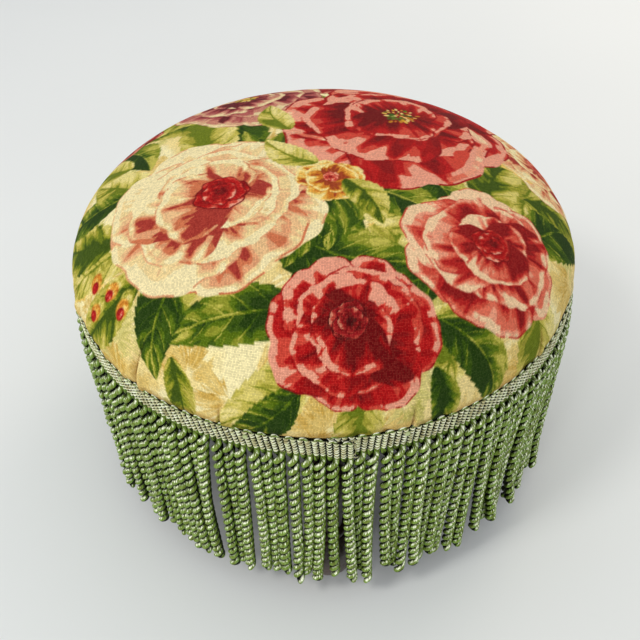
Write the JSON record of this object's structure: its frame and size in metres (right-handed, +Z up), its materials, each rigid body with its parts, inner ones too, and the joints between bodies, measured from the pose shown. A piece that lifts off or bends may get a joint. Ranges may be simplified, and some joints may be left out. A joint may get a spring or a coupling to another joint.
{
  "type": "footstool",
  "caption": "Round low footstool with a crowned, fabric-covered cushion, a twisted-cord bullion fringe round the rim and turned wooden legs behind it.",
  "frame": {"origin": "on the floor at the middle of the seat's outline", "axes": "+Z up, along the seat's axis; -Y towards the front, where the pictured foot and the header's lap are; +X to the viewer's right"},
  "size_m": [0.348, 0.348, 0.244],
  "materials": {
    "plywood": "sanded, unfinished",
    "foam": "open-cell foam",
    "wadding": "soft white fibre",
    "printed_cotton": "matt printed cotton with a floral pattern",
    "staple_wire": "galvanised",
    "dust_cloth": "thin non-woven cloth",
    "header_braid": "silky woven braid",
    "pin_enamel": "enamelled to match the braid",
    "fringe_cord": "silky two-ply twisted rayon",
    "zinc_steel": "zinc plated",
    "leg_wood": "golden brown stain and satin varnish",
    "glide_plastic": "moulded brown nylon"
  },
  "bodies": {
    "root": {"seat_board": "plywood", "seat_foam": "foam", "wadding": "wadding", "top_cover": "printed_cotton", "cover_staples": "staple_wire", "dust_cover": "dust_cloth", "dust_cover_staples": "staple_wire", "fringe_header": "header_braid", "header_pins": "pin_enamel", "fringe_front": "fringe_cord", "fringe_right": "fringe_cord", "fringe_back": "fringe_cord", "fringe_left": "fringe_cord", "t_nuts": "zinc_steel", "hanger_bolts": "zinc_steel", "leg_front": "leg_wood", "leg_right": "leg_wood", "leg_back": "leg_wood", "leg_left": "leg_wood", "glide_front": "glide_plastic", "glide_right": "glide_plastic", "glide_back": "glide_plastic", "glide_left": "glide_plastic"}
  },
  "joints": []
}
